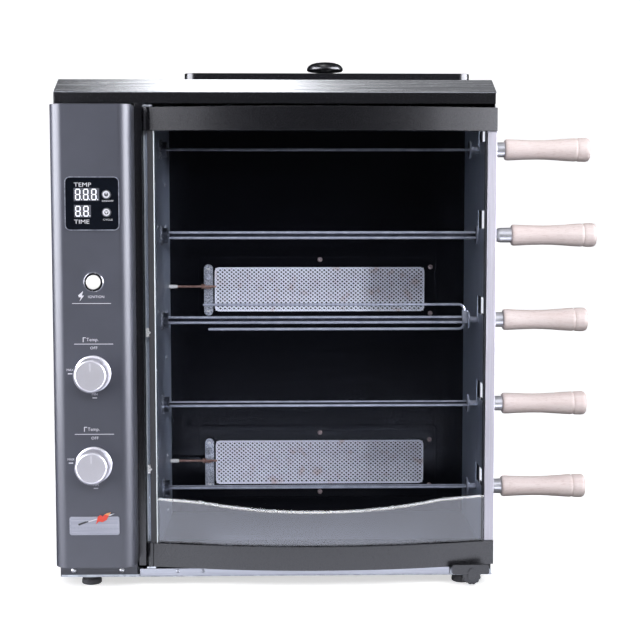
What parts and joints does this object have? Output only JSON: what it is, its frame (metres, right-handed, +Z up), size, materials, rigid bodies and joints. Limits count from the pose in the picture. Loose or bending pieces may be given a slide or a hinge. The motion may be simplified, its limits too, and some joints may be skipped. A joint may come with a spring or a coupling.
{
  "type": "rotisserie oven",
  "caption": "Counter-top gas rotisserie oven with turning skewers, a bowed glass door, infrared burners and a side control pod.",
  "frame": {"origin": "bottom centre of the bounding box, at the foot of the rubber feet", "axes": "+X to the right along the skewers towards their handles, -Y to the front door and knobs, +Z up"},
  "size_m": [0.766, 0.459, 0.738],
  "materials": {
    "side_paint": "satin black paint",
    "fascia_paint": "gloss black paint",
    "pod_paint": "satin charcoal paint",
    "brushed_cover": "brushed along the width",
    "cavity_steel": "brushed stainless sheet",
    "enamel": "black heat-proof enamel",
    "zinc_sheet": "galvanised sheet",
    "tray_steel": "bright stainless sheet",
    "door_paint": "semi-gloss black",
    "stile_metal": "satin anodised",
    "glass": "clear tempered glass",
    "display": "gloss black",
    "key_plastic": "matte dark grey",
    "chrome": "polished",
    "white_plastic": "white",
    "knob_metal": "brushed face, turned side",
    "brass": "plain",
    "copper": "copper tone",
    "board": "green circuit board",
    "ceramic_box": "off-white moulding",
    "badge": "satin plate",
    "screw_steel": "bright zinc",
    "mesh_steel": "expanded mesh",
    "black_plastic": "moulded",
    "rubber": "moulded",
    "lid_paint": "semi-gloss black",
    "gear_metal": "plain",
    "skewer_steel": "polished stainless",
    "wood": "pale, unvarnished"
  },
  "bodies": {
    "body": {"base_pan": "zinc_sheet", "left_side_panel": "side_paint", "right_side_panel": "side_paint", "rear_panel": "side_paint", "top_cover": "brushed_cover", "top_fascia": "fascia_paint", "left_front_post": "fascia_paint", "control_cover": "pod_paint", "cavity_left_wall": "cavity_steel", "cavity_right_wall": "cavity_steel", "cavity_back_wall": "enamel", "cavity_roof": "enamel", "cavity_floor": "tray_steel", "hinge_brackets": "zinc_sheet", "display_panel": "display", "ignition_bezel": "chrome", "gas_valves": "brass", "gas_pipes": "copper", "spark_generator": "ceramic_box", "control_board": "board", "nameplate": "badge", "case_screws": "screw_steel", "gear_plate": "zinc_sheet", "bearing_bushes": "screw_steel", "gear_motor": "zinc_sheet", "burner_housings": "zinc_sheet", "burner_meshes": "mesh_steel", "burner_igniters": "copper", "feet": "rubber"},
    "door": {"door_top_rail": "door_paint", "door_bottom_rail": "door_paint", "door_stile": "stile_metal", "door_glass": "glass", "latch_bracket": "door_paint"},
    "latch": {"latch_wheel": "black_plastic"},
    "tray": {"drip_tray": "tray_steel"},
    "lid": {"top_lid": "lid_paint", "lid_knob": "black_plastic"},
    "upper_knob": {"upper_knob": "knob_metal"},
    "lower_knob": {"lower_knob": "knob_metal"},
    "on_off_button": {"on_off_button": "key_plastic"},
    "cycle_button": {"cycle_button": "key_plastic"},
    "ignition_button": {"ignition_button": "white_plastic"},
    "motor_pinion": {"motor_pinion": "gear_metal"},
    "gear_1": {"drive_gear_1": "gear_metal"},
    "skewer_1": {"skewer_1": "skewer_steel", "skewer_handle_1": "wood"},
    "gear_2": {"drive_gear_2": "gear_metal"},
    "skewer_2": {"skewer_2": "skewer_steel", "skewer_handle_2": "wood"},
    "gear_3": {"drive_gear_3": "gear_metal"},
    "skewer_3": {"skewer_3": "skewer_steel", "skewer_handle_3": "wood"},
    "gear_4": {"drive_gear_4": "gear_metal"},
    "skewer_4": {"skewer_4": "skewer_steel", "skewer_handle_4": "wood"},
    "gear_5": {"drive_gear_5": "gear_metal"},
    "skewer_5": {"skewer_5": "skewer_steel", "skewer_handle_5": "wood"}
  },
  "joints": [
    {"name": "door_hinge", "type": "hinge", "parent": "body", "child": "door", "pos_m": [-0.2565, -0.1465, 0.35], "axis": [0, 0, -1], "range_deg": [0, 90]},
    {"name": "latch_turn", "type": "hinge", "parent": "door", "child": "latch", "pos_m": [0.1858, -0.1695, 0.021], "axis": [0, 1, 0], "range_deg": [0, 90]},
    {"name": "tray_slide", "type": "slide", "parent": "body", "child": "tray", "axis": [0, -1, 0], "range_m": [0, 0.24]},
    {"name": "lid_lift", "type": "slide", "parent": "body", "child": "lid", "axis": [0, 0, 1], "range_m": [0, 0.06]},
    {"name": "upper_knob_turn", "type": "hinge", "parent": "body", "child": "upper_knob", "pos_m": [-0.328, -0.2115, 0.3065], "axis": [0, -1, 0], "range_deg": [0, 180]},
    {"name": "lower_knob_turn", "type": "hinge", "parent": "body", "child": "lower_knob", "pos_m": [-0.328, -0.2115, 0.1835], "axis": [0, -1, 0], "range_deg": [0, 180]},
    {"name": "on_off_press", "type": "slide", "parent": "body", "child": "on_off_button", "axis": [0, 1, 0], "range_m": [0, 0.0012], "stiffness_N_per_m": 400},
    {"name": "cycle_press", "type": "slide", "parent": "body", "child": "cycle_button", "axis": [0, 1, 0], "range_m": [0, 0.0012], "stiffness_N_per_m": 400},
    {"name": "ignition_press", "type": "slide", "parent": "body", "child": "ignition_button", "axis": [0, 1, 0], "range_m": [0, 0.006], "stiffness_N_per_m": 500},
    {"name": "gear_1_turn", "type": "hinge", "parent": "body", "child": "gear_1", "pos_m": [-0.268, -0.0215, 0.61], "axis": [1, 0, 0], "continuous": true},
    {"name": "gear_2_turn", "type": "hinge", "parent": "body", "child": "gear_2", "pos_m": [-0.268, -0.0215, 0.4864], "axis": [1, 0, 0], "continuous": true},
    {"name": "gear_3_turn", "type": "hinge", "parent": "body", "child": "gear_3", "pos_m": [-0.268, -0.0215, 0.3628], "axis": [1, 0, 0], "continuous": true},
    {"name": "gear_4_turn", "type": "hinge", "parent": "body", "child": "gear_4", "pos_m": [-0.268, -0.0215, 0.2392], "axis": [1, 0, 0], "continuous": true},
    {"name": "gear_5_turn", "type": "hinge", "parent": "body", "child": "gear_5", "pos_m": [-0.268, -0.0215, 0.1156], "axis": [1, 0, 0], "continuous": true},
    {"name": "pinion_turn", "type": "hinge", "parent": "body", "child": "motor_pinion", "pos_m": [-0.268, 0.08665, 0.3628], "axis": [1, 0, 0], "continuous": true},
    {"name": "skewer_1_pull", "type": "slide", "parent": "gear_1", "child": "skewer_1", "axis": [1, 0, 0], "range_m": [0, 0.012]},
    {"name": "skewer_2_pull", "type": "slide", "parent": "gear_2", "child": "skewer_2", "axis": [1, 0, 0], "range_m": [-0.011, 0.001]},
    {"name": "skewer_3_pull", "type": "slide", "parent": "gear_3", "child": "skewer_3", "axis": [1, 0, 0], "range_m": [0, 0.012]},
    {"name": "skewer_4_pull", "type": "slide", "parent": "gear_4", "child": "skewer_4", "axis": [1, 0, 0], "range_m": [0, 0.012]},
    {"name": "skewer_5_pull", "type": "slide", "parent": "gear_5", "child": "skewer_5", "axis": [1, 0, 0], "range_m": [0, 0.012]}
  ],
  "couplings": [
    {"joint": "gear_2_turn", "follows": "gear_1_turn", "ratio": -1},
    {"joint": "gear_3_turn", "follows": "gear_1_turn", "ratio": 1},
    {"joint": "gear_4_turn", "follows": "gear_1_turn", "ratio": -1},
    {"joint": "gear_5_turn", "follows": "gear_1_turn", "ratio": 1},
    {"joint": "pinion_turn", "follows": "gear_1_turn", "ratio": -1.3333}
  ]
}
